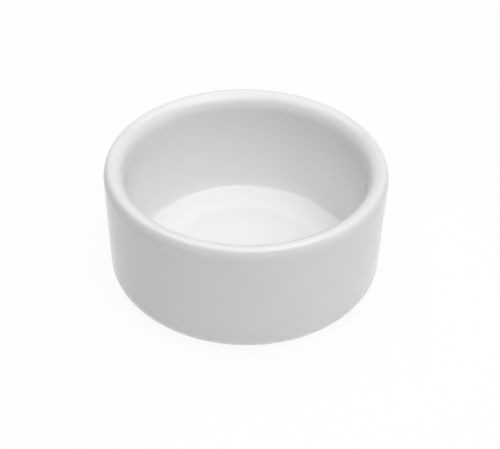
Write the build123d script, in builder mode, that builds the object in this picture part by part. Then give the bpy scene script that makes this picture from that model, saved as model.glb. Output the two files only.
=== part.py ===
from build123d import *

import os
from math import radians, tan

# Ramekin: a thick-walled cup of fired porcelain, glazed white everywhere but on its foot ring.
# Millimetres, +Z up. The origin is on the table, under the middle of the foot.
# Every piece is turned from a half section: X is the distance from the cup's axis, Y the height.

os.makedirs("parts", exist_ok=True)

# Wall, from its outside in
rim_dia = 70.0  # outside, just below the lip's shoulders
height = 32.8  # table to the top of the lip, before the lip is rounded
wall_taper = 0.8  # how much nearer the axis the outside of the wall is at the foot than at the lip
base_round = 5.2  # bottom edge of the wall
heel_thickness = 6.2  # wall at the floor, where it is thickest
heel_lean = 0.9  # of the lowest part of the wall's inside, out from the floor
heel_height = 2.45

# Lip: a crown that slopes down to the inside, between two shoulders that lean in from the wall
lip_thickness = 5.3  # of the wall, just below the shoulders
crown_fall = 0.4  # from the outer edge of the crown down to its inner edge
inner_shoulder_lean = 1.7  # from the wall's inner line in to the crown
inner_shoulder_height = 2.8
outer_shoulder_lean = 1.05  # from the wall's outer line in to the crown
outer_shoulder_height = 1.7
outer_top_round = 1.25  # between the crown and the outer shoulder
straight = 0.1  # left of the crown, a shoulder or the heel, between the rounds at its two ends

# Floor: a level disc with a border that rises to the wall
floor_thickness = 2.6  # in the middle
border_width = 7.5  # from the disc to the wall
border_rise = 0.6  # from the disc up to the wall
border_round = 25.0  # where the border leaves the disc
corner_round = 1.3  # between border and wall

# Foot ring and the recess inside it
foot_inset = 6.4  # how far the ring stands in from the wall's outside
foot_width = 3.6  # of the ring, on the table
foot_height = 0.8  # table to the root of the ring, outside
recess_height = 1.5  # table to the underside of the floor
foot_round = 0.5  # both edges of the ring's standing face
recess_round = 0.7  # between the ring and the underside

# Glaze, fused on and flush with the bare foot
glaze_thickness = 0.3

# Distances from the axis and heights that follow from the sizes
rim_r = rim_dia / 2
base_r = rim_r - wall_taper
floor_r = base_r - heel_thickness
disc_r = floor_r - border_width
foot_r = base_r - foot_inset
recess_r = foot_r - foot_width
floor_z = recess_height + floor_thickness

# Corners of the finished surface, before they are rounded
floor_middle = (0, floor_z)
disc_edge = (disc_r, floor_z)
floor_corner = (floor_r, floor_z + border_rise)
heel_top = (floor_r + heel_lean, floor_z + border_rise + heel_height)
lip_inner_low = (rim_r - lip_thickness, height - crown_fall - inner_shoulder_height)
lip_inner_top = (rim_r - lip_thickness + inner_shoulder_lean, height - crown_fall)
lip_outer_top = (rim_r - outer_shoulder_lean, height)
lip_outer_low = (rim_r, height - outer_shoulder_height)
base_corner = (base_r, foot_height)
foot_root = (foot_r, foot_height)
foot_outer = (foot_r, 0)
foot_inner = (recess_r, 0)
recess_corner = (recess_r, recess_height)
recess_rim = (recess_r, foot_round)
recess_middle = (0, recess_height)


def rest_round(before, start, end, after, end_round):
    """Radius of a round at start that takes what the round at end leaves of the line between them."""
    line = Vector(end) - Vector(start)
    start_turn = (Vector(start) - Vector(before)).get_angle(line)
    end_turn = line.get_angle(Vector(after) - Vector(end))
    end_length = end_round * tan(radians(end_turn / 2))
    return (line.length - straight - end_length) / tan(radians(start_turn / 2))


inner_top_round = rest_round(lip_inner_low, lip_inner_top, lip_outer_top, lip_outer_low, outer_top_round)
inner_low_round = rest_round(heel_top, lip_inner_low, lip_inner_top, lip_outer_top, inner_top_round)
outer_low_round = rest_round(base_corner, lip_outer_low, lip_outer_top, lip_inner_top, outer_top_round)
heel_round = rest_round(lip_inner_low, heel_top, floor_corner, disc_edge, corner_round)

# The surface that the coat covers, from the middle of the floor over the lip to the foot
lip_corners = [lip_inner_low, lip_inner_top, lip_outer_top, lip_outer_low]
coat_corners = [floor_middle, disc_edge, floor_corner, heel_top, *lip_corners, base_corner, foot_root]
lip_rounds = [inner_low_round, inner_top_round, outer_top_round, outer_low_round]
coat_rounds = [border_round, corner_round, heel_round, *lip_rounds, base_round]

# Glaze coat over the floor, both faces of the wall, and the lip
with BuildPart() as glaze_coat:
    with BuildSketch(Plane.XZ) as coat_section:
        with BuildLine():
            FilletPolyline(*coat_corners, radius=coat_rounds)
            offset(amount=glaze_thickness, side=Side.RIGHT)
        make_face()
    revolve(axis=Axis.Z)
glaze_coat.part.label = "glaze_coat"

# Glaze in the recess under the floor, ending on the inner side of the foot ring
with BuildPart() as base_glaze:
    with BuildSketch(Plane.XZ) as base_section:
        with BuildLine():
            FilletPolyline(recess_middle, recess_corner, recess_rim, radius=[recess_round])
            offset(amount=glaze_thickness, side=Side.LEFT)
        make_face()
    revolve(axis=Axis.Z)
base_glaze.part.label = "base_glaze"

# Porcelain body: the finished cup less the two glazes, with the foot ring bare
with BuildPart() as body:
    with BuildSketch(Plane.XZ) as body_section:
        with BuildLine():
            FilletPolyline(
                *coat_corners,
                foot_outer,
                foot_inner,
                recess_corner,
                recess_middle,
                radius=[*coat_rounds, 0, foot_round, foot_round, recess_round],
            )
            Line(recess_middle, floor_middle)
        make_face()
        add(coat_section.sketch, mode=Mode.SUBTRACT)
        add(base_section.sketch, mode=Mode.SUBTRACT)
    revolve(axis=Axis.Z)
body.part.label = "body"

for piece in (body, glaze_coat, base_glaze):
    export_step(piece.part, f"parts/{piece.part.label}.step")
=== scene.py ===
import math

import bpy
from mathutils import Matrix, Vector


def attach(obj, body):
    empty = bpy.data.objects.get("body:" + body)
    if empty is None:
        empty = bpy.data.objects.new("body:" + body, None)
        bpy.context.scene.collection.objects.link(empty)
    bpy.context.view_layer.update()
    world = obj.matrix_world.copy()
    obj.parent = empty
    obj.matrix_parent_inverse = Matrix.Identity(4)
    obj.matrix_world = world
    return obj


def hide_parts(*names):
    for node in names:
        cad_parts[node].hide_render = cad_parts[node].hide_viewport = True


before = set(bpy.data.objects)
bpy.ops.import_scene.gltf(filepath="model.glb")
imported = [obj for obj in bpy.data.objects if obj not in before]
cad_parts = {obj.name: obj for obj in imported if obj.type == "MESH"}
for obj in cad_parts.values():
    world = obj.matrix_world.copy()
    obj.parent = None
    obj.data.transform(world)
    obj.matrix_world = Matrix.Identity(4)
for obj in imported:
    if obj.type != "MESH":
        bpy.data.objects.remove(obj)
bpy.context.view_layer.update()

mm = 0.001


# The cup as a half section in millimetres: distance from the axis, then height
cup = {
    "rimRadius": 35.0,
    "height": 32.8,
    "wallTaper": 0.8,        # radius lost from lip to foot, outside
    "baseRound": 5.2,
    "heelThickness": 6.2,    # wall at the floor
    "heelSlope": (0.9, 2.45),        # how far the foot of the inner wall leans out, and over what height
    "lipThickness": 5.3,     # just below the lip's shoulders
    "crownFall": 0.4,        # the top of the lip slopes down to the inside
    "innerShoulder": (1.7, 2.8),     # how far it leans in from the wall, and over what height
    "outerShoulder": (1.05, 1.7),
    "outerTopRound": 1.25,
    "straight": 0.1,         # left of the crown, a shoulder or the heel between its rounds
    "floorThickness": 2.6,
    "borderWidth": 7.5,      # rising edge of the floor
    "borderRise": 0.6,       # from the level disc up to the wall
    "borderRound": 25.0,
    "cornerRound": 1.3,
}
foot = {
    "inset": 6.4,            # in from the outside of the wall
    "width": 3.6,
    "height": 0.8,
    "recess": 1.5,           # underside of the floor, above the table
    "edgeRound": 0.5,
    "recessRound": 0.7,
}
glaze = {
    "thickness": 0.3,
    "meniscus": 0.25,        # round where the melt crept down the side of the foot
    "rippleHeight": 0.02,    # how far the melt strays from a true turned shape
    "rippleSize": 9.0,
    "seed": 4,
}
turning = {
    "steps": 192,            # around the axis
    "longestRun": 1.2,       # along a straight of the section
    "arcDegrees": 7.0,       # along a round of it
    "sharpDegrees": 40.0,
    "fewestRunsInArc": 3,
    "mergeDistance": 0.001,  # closes the seam and the poles
}


# One small function for every node of every tree: its settings, then its values and links
def addNode(tree, kind, settings=None, inputs=None):
    node = tree.nodes.new(kind)
    for name, value in (settings or {}).items():
        setattr(node, name, value)
    for name, value in (inputs or {}).items():
        if isinstance(value, bpy.types.NodeSocket):
            tree.links.new(value, node.inputs[name])
        else:
            node.inputs[name].default_value = value
    return node


def linear(hexColour):
    channels = [int(hexColour[k:k + 2], 16) / 255 for k in (1, 3, 5)]
    return [c / 12.92 if c < 0.04045 else ((c + 0.055) / 1.055) ** 2.4 for c in channels] + [1.0]


def rightOf(direction):
    return Vector((direction.y, -direction.x))


# A path through corners with each one rounded, shifted to its right by an inset
def roundedPath(corners, rounds, inset=0.0):
    corners = [Vector(c) for c in corners]
    points = [corners[0] + rightOf((corners[1] - corners[0]).normalized()) * inset]
    for before, corner, after, size in zip(corners, corners[1:], corners[2:], rounds):
        into = (corner - before).normalized()
        out = (after - corner).normalized()
        turn = math.atan2(into.cross(out), into.dot(out))
        hand = math.copysign(1, turn)
        start = corner - into * size * math.tan(abs(turn) / 2)
        centre = start - rightOf(into) * size * hand
        runs = math.ceil(math.degrees(abs(turn)) / turning["arcDegrees"])
        count = max(turning["fewestRunsInArc"], runs)
        for k in range(count + 1):
            arm = Matrix.Rotation(turn * k / count, 2) @ rightOf(into)
            points.append(centre + arm * (size * hand + inset))
    points.append(corners[-1] + rightOf((corners[-1] - corners[-2]).normalized()) * inset)
    return points


def divided(points):
    result = [points[0]]
    for a, b in zip(points, points[1:]):
        count = max(1, math.ceil((b - a).length / turning["longestRun"]))
        result += [a.lerp(b, k / count) for k in range(1, count + 1)]
    return result


# Radius of a round at start that takes what the round at end leaves of the line between them
def restRound(before, start, end, after, endRound):
    line = Vector(end) - Vector(start)
    startTurn = (Vector(start) - Vector(before)).angle(line)
    endTurn = line.angle(Vector(after) - Vector(end))
    endLength = endRound * math.tan(endTurn / 2)
    return (line.length - cup["straight"] - endLength) / math.tan(startTurn / 2)


def halfSections():
    baseRadius = cup["rimRadius"] - cup["wallTaper"]
    floorRadius = baseRadius - cup["heelThickness"]
    footRadius = baseRadius - foot["inset"]
    recessRadius = footRadius - foot["width"]
    floorHeight = foot["recess"] + cup["floorThickness"]
    floorMiddle = (0, floorHeight)
    discEdge = (floorRadius - cup["borderWidth"], floorHeight)
    floorCorner = (floorRadius, floorHeight + cup["borderRise"])
    heel = (floorRadius + cup["heelSlope"][0], floorCorner[1] + cup["heelSlope"][1])
    innerTopHeight = cup["height"] - cup["crownFall"]
    innerLow = (cup["rimRadius"] - cup["lipThickness"], innerTopHeight - cup["innerShoulder"][1])
    innerTop = (innerLow[0] + cup["innerShoulder"][0], innerTopHeight)
    outerTop = (cup["rimRadius"] - cup["outerShoulder"][0], cup["height"])
    outerLow = (cup["rimRadius"], cup["height"] - cup["outerShoulder"][1])
    baseCorner = (baseRadius, foot["height"])
    footRoot = (footRadius, foot["height"])
    innerTopRound = restRound(innerLow, innerTop, outerTop, outerLow, cup["outerTopRound"])
    lip = [innerLow, innerTop, outerTop, outerLow]
    lipRounds = [
        restRound(heel, innerLow, innerTop, outerTop, innerTopRound),
        innerTopRound,
        cup["outerTopRound"],
        restRound(baseCorner, outerLow, outerTop, innerTop, cup["outerTopRound"]),
    ]
    heelRound = restRound(innerLow, heel, floorCorner, discEdge, cup["cornerRound"])
    corners = [floorMiddle, discEdge, floorCorner, heel, *lip, baseCorner, footRoot]
    rounds = [cup["borderRound"], cup["cornerRound"], heelRound, *lipRounds, cup["baseRound"]]
    crept = (footRadius, foot["edgeRound"])
    coatFace = roundedPath(corners + [crept], rounds + [glaze["meniscus"]])
    coatBack = roundedPath(corners, rounds, glaze["thickness"])

    recessMiddle = (0, foot["recess"])
    recessCorner = (recessRadius, foot["recess"])
    recessRim = (recessRadius, foot["edgeRound"])
    underside = [recessMiddle, recessCorner, recessRim]
    recessFace = roundedPath(underside, [foot["recessRound"]])
    recessBack = roundedPath(underside, [foot["recessRound"]], -glaze["thickness"])
    ring = roundedPath(
        [footRoot, (footRadius, 0), (recessRadius, 0), recessRim],
        [foot["edgeRound"]] * 2,
    )
    return {
        "coat": divided(coatFace + coatBack[::-1]),
        "recess": divided(recessBack + recessFace[::-1]),
        "body": divided(coatBack + ring + recessBack[::-1]),
    }


# Turns a half section about the axis, closes its seam and poles, and lets the surface ripple
def turningTree():
    tree = bpy.data.node_groups.new("turnedOnTheWheel", "GeometryNodeTree")
    sockets = {
        "Section": "NodeSocketGeometry",
        "Steps": "NodeSocketInt",
        "Ripple Height": "NodeSocketFloat",
        "Ripple Size": "NodeSocketFloat",
        "Seed": "NodeSocketInt",
        "Sharp Angle": "NodeSocketFloat",
        "Finish": "NodeSocketMaterial",
    }
    for name, kind in sockets.items():
        tree.interface.new_socket(name, in_out="INPUT", socket_type=kind)
    tree.interface.new_socket("Piece", in_out="OUTPUT", socket_type="NodeSocketGeometry")
    given = addNode(tree, "NodeGroupInput").outputs
    section = given["Section"]

    count = addNode(tree, "GeometryNodeAttributeDomainSize", {"component": "MESH"}, {"Geometry": section})
    around = addNode(tree, "ShaderNodeMath", {"operation": "ADD"}, {0: given["Steps"], 1: 1.0})
    grid = addNode(tree, "GeometryNodeMeshGrid", {}, {
        "Vertices X": count.outputs["Point Count"],
        "Vertices Y": around.outputs[0],
    })
    index = addNode(tree, "GeometryNodeInputIndex")
    share = addNode(tree, "ShaderNodeMath", {"operation": "DIVIDE"}, {
        0: index.outputs[0],
        1: around.outputs[0],
    })
    ring = addNode(tree, "ShaderNodeMath", {"operation": "FLOOR"}, {0: share.outputs[0]})
    place = addNode(tree, "GeometryNodeInputPosition")
    point = addNode(tree, "GeometryNodeSampleIndex", {"data_type": "FLOAT_VECTOR"}, {
        "Geometry": section,
        "Value": place.outputs[0],
        "Index": ring.outputs[0],
    })
    step = addNode(tree, "ShaderNodeMath", {"operation": "MODULO"}, {
        0: index.outputs[0],
        1: around.outputs[0],
    })
    turn = addNode(tree, "ShaderNodeMath", {"operation": "DIVIDE"}, {0: step.outputs[0], 1: given["Steps"]})
    angle = addNode(tree, "ShaderNodeMath", {"operation": "MULTIPLY"}, {0: turn.outputs[0], 1: math.tau})
    turned = addNode(tree, "ShaderNodeVectorRotate", {"rotation_type": "Z_AXIS"}, {
        "Vector": point.outputs[0],
        "Angle": angle.outputs[0],
    })
    placed = addNode(tree, "GeometryNodeSetPosition", {}, {
        "Geometry": grid.outputs["Mesh"],
        "Position": turned.outputs[0],
    })
    closed = addNode(tree, "GeometryNodeMergeByDistance", {}, {
        "Geometry": placed.outputs[0],
        "Distance": turning["mergeDistance"] * mm,
    })

    scale = addNode(tree, "ShaderNodeMath", {"operation": "DIVIDE"}, {0: 1.0, 1: given["Ripple Size"]})
    wave = addNode(tree, "ShaderNodeTexNoise", {"noise_dimensions": "4D"}, {
        "Vector": place.outputs[0],
        "W": given["Seed"],
        "Scale": scale.outputs[0],
        "Detail": 1.0,
    })
    centred = addNode(tree, "ShaderNodeMath", {"operation": "SUBTRACT"}, {0: wave.outputs[0], 1: 0.5})
    height = addNode(tree, "ShaderNodeMath", {"operation": "MULTIPLY"}, {
        0: centred.outputs[0],
        1: given["Ripple Height"],
    })
    normal = addNode(tree, "GeometryNodeInputNormal")
    offset = addNode(tree, "ShaderNodeVectorMath", {"operation": "SCALE"}, {
        0: normal.outputs[0],
        "Scale": height.outputs[0],
    })
    rippled = addNode(tree, "GeometryNodeSetPosition", {}, {
        "Geometry": closed.outputs[0],
        "Offset": offset.outputs[0],
    })

    smooth = addNode(tree, "GeometryNodeSetShadeSmooth", {"domain": "FACE"}, {
        "Geometry": rippled.outputs[0],
    })
    edge = addNode(tree, "GeometryNodeInputMeshEdgeAngle")
    sharp = addNode(tree, "FunctionNodeCompare", {"operation": "GREATER_THAN"}, {
        0: edge.outputs[0],
        1: given["Sharp Angle"],
    })
    creased = addNode(tree, "GeometryNodeSetShadeSmooth", {"domain": "EDGE"}, {
        "Geometry": smooth.outputs[0],
        "Selection": sharp.outputs[0],
        "Shade Smooth": False,
    })
    real = addNode(tree, "GeometryNodeRealizeInstances", {}, {"Geometry": creased.outputs[0]})
    dressed = addNode(tree, "GeometryNodeSetMaterial", {}, {
        "Geometry": real.outputs[0],
        "Material": given["Finish"],
    })
    addNode(tree, "NodeGroupOutput", {}, {"Piece": dressed.outputs[0]})
    return tree


def turnedPiece(name, tree, section, material, rippleHeight=0.0):
    line = bpy.data.meshes.new(name + "Section")
    edges = [(k, k + 1) for k in range(len(section) - 1)]
    line.from_pydata([(p.x * mm, 0, p.y * mm) for p in section], edges, [])
    piece = bpy.data.objects.new(name, line)
    bpy.context.collection.objects.link(piece)
    values = {
        "Steps": turning["steps"],
        "Ripple Height": rippleHeight * mm,
        "Ripple Size": glaze["rippleSize"] * mm,
        "Seed": glaze["seed"],
        "Sharp Angle": math.radians(turning["sharpDegrees"]),
        "Finish": material,
    }
    modifier = piece.modifiers.new("turning", "NODES")
    modifier.node_group = tree
    for socket in tree.interface.items_tree:
        if socket.in_out == "INPUT" and socket.name in values:
            modifier[socket.identifier] = values[socket.name]
    evaluated = piece.evaluated_get(bpy.context.evaluated_depsgraph_get())
    solid = bpy.data.meshes.new_from_object(evaluated)
    solid.name = name
    piece.modifiers.clear()
    piece.data = solid
    return piece


def newMaterial(name):
    material = bpy.data.materials.new(name)
    material.use_nodes = True
    material.node_tree.nodes.clear()
    return material, material.node_tree


# Clear gloss glaze melted over white porcelain: a near-white that varies very little, with painted shade
# on the level disc of the floor, which is painted a shade greyer than the rest. Its skin is smooth with
# faint soft waves, so reflections are clear but a little uneven.
def clearGlazeOnPorcelain():
    look = {
        "thin": "#F2F2F2",
        "thick": "#EDEDED",
        "patchSize": 16.0,
        # painted shade: colour of the floor's level disc, a shade greyer than the glaze
        "paintedFloorShade": "#E8E8E8",
        "paintedShadeEdge": (17.5, 21.0),        # distances from the axis between which the painted shade fades out
        "roughness": 0.14,
        "ior": 1.5,
        "waveSize": 2.6,
        "waveHeight": 0.004,
    }
    material, tree = newMaterial("clearGlazeOnPorcelain")
    place = addNode(tree, "ShaderNodeTexCoord").outputs["Object"]
    level = addNode(tree, "ShaderNodeVectorMath", {"operation": "MULTIPLY"}, {0: place, 1: (1.0, 1.0, 0.0)})
    radius = addNode(tree, "ShaderNodeVectorMath", {"operation": "LENGTH"}, {0: level.outputs[0]})
    patches = addNode(tree, "ShaderNodeTexNoise", {}, {
        "Vector": place,
        "Scale": 1 / (look["patchSize"] * mm),
        "Detail": 2.0,
    })
    coated = addNode(tree, "ShaderNodeMix", {"data_type": "RGBA"}, {
        "Factor": patches.outputs[0],
        "A": linear(look["thin"]),
        "B": linear(look["thick"]),
    })
    # painted shade: full on the floor's level disc, fading out between the two distances
    paintedShadeMask = addNode(tree, "ShaderNodeMapRange", {"interpolation_type": "SMOOTHSTEP"}, {
        "Value": radius.outputs["Value"],
        "From Min": look["paintedShadeEdge"][0] * mm,
        "From Max": look["paintedShadeEdge"][1] * mm,
        "To Min": 1.0,
        "To Max": 0.0,
    })
    # painted shade mixed in over the glaze colour on the floor's middle
    colour = addNode(tree, "ShaderNodeMix", {"data_type": "RGBA"}, {
        "Factor": paintedShadeMask.outputs[0],
        "A": coated.outputs["Result"],
        "B": linear(look["paintedFloorShade"]),
    })
    waves = addNode(tree, "ShaderNodeTexNoise", {}, {
        "Vector": place,
        "Scale": 1 / (look["waveSize"] * mm),
        "Detail": 1.0,
    })
    bump = addNode(tree, "ShaderNodeBump", {}, {
        "Height": waves.outputs[0],
        "Strength": 1.0,
        "Distance": look["waveHeight"] * mm,
    })
    shader = addNode(tree, "ShaderNodeBsdfPrincipled", {}, {
        "Base Color": colour.outputs["Result"],
        "Roughness": look["roughness"],
        "IOR": look["ior"],
        "Normal": bump.outputs[0],
    })
    addNode(tree, "ShaderNodeOutputMaterial", {}, {"Surface": shader.outputs[0]})
    return material


# Fired porcelain without glaze, its foot ground flat: matt, a little warmer and greyer than
# the glaze, with fine grain and a few fired-in specks.
def groundBisquePorcelain():
    look = {
        "clay": "#E6E1D8",
        "worn": "#D2CCC1",
        "patchSize": 5.0,
        "speck": "#A59C8E",
        "speckSize": 0.9,        # from one speck to the next
        "speckEdge": (0.08, 0.14),       # shares of that from a speck's middle, where it fades out
        "grainSize": 0.25,       # real grain is about 0.05, drawn coarser to show
        "grainHeight": 0.02,
        "roughness": 0.72,
        "ior": 1.5,
    }
    material, tree = newMaterial("groundBisquePorcelain")
    place = addNode(tree, "ShaderNodeTexCoord").outputs["Object"]
    patches = addNode(tree, "ShaderNodeTexNoise", {}, {
        "Vector": place,
        "Scale": 1 / (look["patchSize"] * mm),
        "Detail": 4.0,
    })
    clay = addNode(tree, "ShaderNodeMix", {"data_type": "RGBA"}, {
        "Factor": patches.outputs[0],
        "A": linear(look["clay"]),
        "B": linear(look["worn"]),
    })
    cells = addNode(tree, "ShaderNodeTexVoronoi", {}, {
        "Vector": place,
        "Scale": 1 / (look["speckSize"] * mm),
    })
    specks = addNode(tree, "ShaderNodeMapRange", {}, {
        "Value": cells.outputs["Distance"],
        "From Min": look["speckEdge"][0],
        "From Max": look["speckEdge"][1],
        "To Min": 1.0,
        "To Max": 0.0,
    })
    colour = addNode(tree, "ShaderNodeMix", {"data_type": "RGBA"}, {
        "Factor": specks.outputs[0],
        "A": clay.outputs["Result"],
        "B": linear(look["speck"]),
    })
    grain = addNode(tree, "ShaderNodeTexNoise", {}, {
        "Vector": place,
        "Scale": 1 / (look["grainSize"] * mm),
        "Detail": 3.0,
    })
    bump = addNode(tree, "ShaderNodeBump", {}, {
        "Height": grain.outputs[0],
        "Strength": 1.0,
        "Distance": look["grainHeight"] * mm,
    })
    shader = addNode(tree, "ShaderNodeBsdfPrincipled", {}, {
        "Base Color": colour.outputs["Result"],
        "Roughness": look["roughness"],
        "IOR": look["ior"],
        "Normal": bump.outputs[0],
    })
    addNode(tree, "ShaderNodeOutputMaterial", {}, {"Surface": shader.outputs[0]})
    return material


print("materials")
glazed = clearGlazeOnPorcelain()
bare = groundBisquePorcelain()

print("turned pieces")
wheel = turningTree()
sections = halfSections()
coat = turnedPiece("whiteGlazeCoat", wheel, sections["coat"], glazed, glaze["rippleHeight"])
recess = turnedPiece("whiteGlazeInRecess", wheel, sections["recess"], glazed)
body = turnedPiece("porcelainBody", wheel, sections["body"], bare)
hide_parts("glaze_coat")
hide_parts("base_glaze")
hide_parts("body")
for piece in (coat, recess, body):
    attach(piece, "root")


# Studio: a white table under a wide softbox, with two smaller ones at its right and front and a weak
# panel low at the right. Places and sizes are in metres, powers in watts.
studio = {
    "floorSize": 3.0,
    "floorColour": "#FAFAFA",
    "floorGlow": 0.93,       # share of plain white that cameras and reflections see in the floor
    "roomColour": "#FFFFFF",
    "roomLight": 0.0,        # what the room adds to the lamps
    "lamps": {
        "overhead": {"power": 5.36, "size": 1.0, "place": (0.0, 0.05, 0.75)},
        "overheadRight": {"power": 1.3, "size": 0.6, "place": (0.3, -0.2, 0.72)},
        "overheadFront": {"power": 0.94, "size": 0.5, "place": (0.1, -0.5, 0.6)},
        "rightPanel": {"power": 0.37, "size": 0.4, "place": (0.7, -0.1, 0.3)},
    },
}


def seenDirectly(tree):
    path = addNode(tree, "ShaderNodeLightPath").outputs
    some = addNode(tree, "ShaderNodeMath", {"operation": "MAXIMUM"}, {
        0: path["Is Camera Ray"],
        1: path["Is Glossy Ray"],
    })
    every = addNode(tree, "ShaderNodeMath", {"operation": "MAXIMUM"}, {
        0: some.outputs[0],
        1: path["Is Transmission Ray"],
    })
    return every.outputs[0]


def whiteTable():
    half = studio["floorSize"] / 2
    mesh = bpy.data.meshes.new("table")
    corners = [(-half, -half, 0), (half, -half, 0), (half, half, 0), (-half, half, 0)]
    mesh.from_pydata(corners, [], [(0, 1, 2, 3)])
    table = bpy.data.objects.new("table", mesh)
    bpy.context.collection.objects.link(table)
    material, tree = newMaterial("tableWhite")
    paper = addNode(tree, "ShaderNodeBsdfDiffuse", {}, {"Color": linear(studio["floorColour"])})
    glow = addNode(tree, "ShaderNodeEmission", {}, {"Strength": 1.0})
    amount = addNode(tree, "ShaderNodeMath", {"operation": "MULTIPLY"}, {
        0: seenDirectly(tree),
        1: studio["floorGlow"],
    })
    mixed = addNode(tree, "ShaderNodeMixShader", {}, {
        0: amount.outputs[0],
        1: paper.outputs[0],
        2: glow.outputs[0],
    })
    back = addNode(tree, "ShaderNodeNewGeometry").outputs["Backfacing"]
    clear = addNode(tree, "ShaderNodeBsdfTransparent")
    seen = addNode(tree, "ShaderNodeMixShader", {}, {0: back, 1: mixed.outputs[0], 2: clear.outputs[0]})
    addNode(tree, "ShaderNodeOutputMaterial", {}, {"Surface": seen.outputs[0]})
    mesh.materials.append(material)


def paleRoom():
    world = bpy.data.worlds.new("paleRoom")
    bpy.context.scene.world = world
    world.use_nodes = True
    tree = world.node_tree
    tree.nodes.clear()
    strength = addNode(tree, "ShaderNodeMapRange", {}, {
        "Value": seenDirectly(tree),
        "To Min": studio["roomLight"],
        "To Max": 1.0,
    })
    light = addNode(tree, "ShaderNodeBackground", {}, {
        "Color": linear(studio["roomColour"]),
        "Strength": strength.outputs[0],
    })
    addNode(tree, "ShaderNodeOutputWorld", {}, {"Surface": light.outputs[0]})


def softbox(name, power, size, place, target=(0, 0, 0)):
    lamp = bpy.data.lights.new(name, "AREA")
    lamp.energy = power
    lamp.size = size
    lampObject = bpy.data.objects.new(name, lamp)
    lampObject.location = place
    lampObject.rotation_euler = (Vector(target) - Vector(place)).to_track_quat("-Z", "Y").to_euler()
    bpy.context.collection.objects.link(lampObject)


# Camera: pitch and lens worked out from the ellipses of the lip and of the floor in the photo
camera = {
    "distance": 9.0,         # in rim radii, as the target is
    "pitchDegrees": 38.0,
    "rollDegrees": 1.1,
    "target": (0.0334, 0.0, 0.3817),
    "focalPixels": 1238.0,
    "frameWidth": 500,
    "sensorWidth": 36.0,
    "nearest": 0.01,
}


def placeCamera():
    rim = cup["rimRadius"] * mm
    pitch = math.radians(camera["pitchDegrees"])
    target = Vector(camera["target"]) * rim
    data = bpy.data.cameras.new("camera")
    data.sensor_fit = "HORIZONTAL"
    data.sensor_width = camera["sensorWidth"]
    data.lens = camera["focalPixels"] / camera["frameWidth"] * camera["sensorWidth"]
    data.clip_start = camera["nearest"]
    view = bpy.data.objects.new("camera", data)
    view.location = target + Vector((0, -math.cos(pitch), math.sin(pitch))) * camera["distance"] * rim
    roll = Matrix.Rotation(math.radians(camera["rollDegrees"]), 3, "Z")
    view.rotation_euler = (Matrix.Rotation(math.pi / 2 - pitch, 3, "X") @ roll).to_euler()
    bpy.context.collection.objects.link(view)
    bpy.context.scene.camera = view


print("studio")
whiteTable()
paleRoom()
for name, lamp in studio["lamps"].items():
    softbox(name, lamp["power"], lamp["size"], lamp["place"])
placeCamera()
bpy.context.scene.view_settings.view_transform = "Standard"
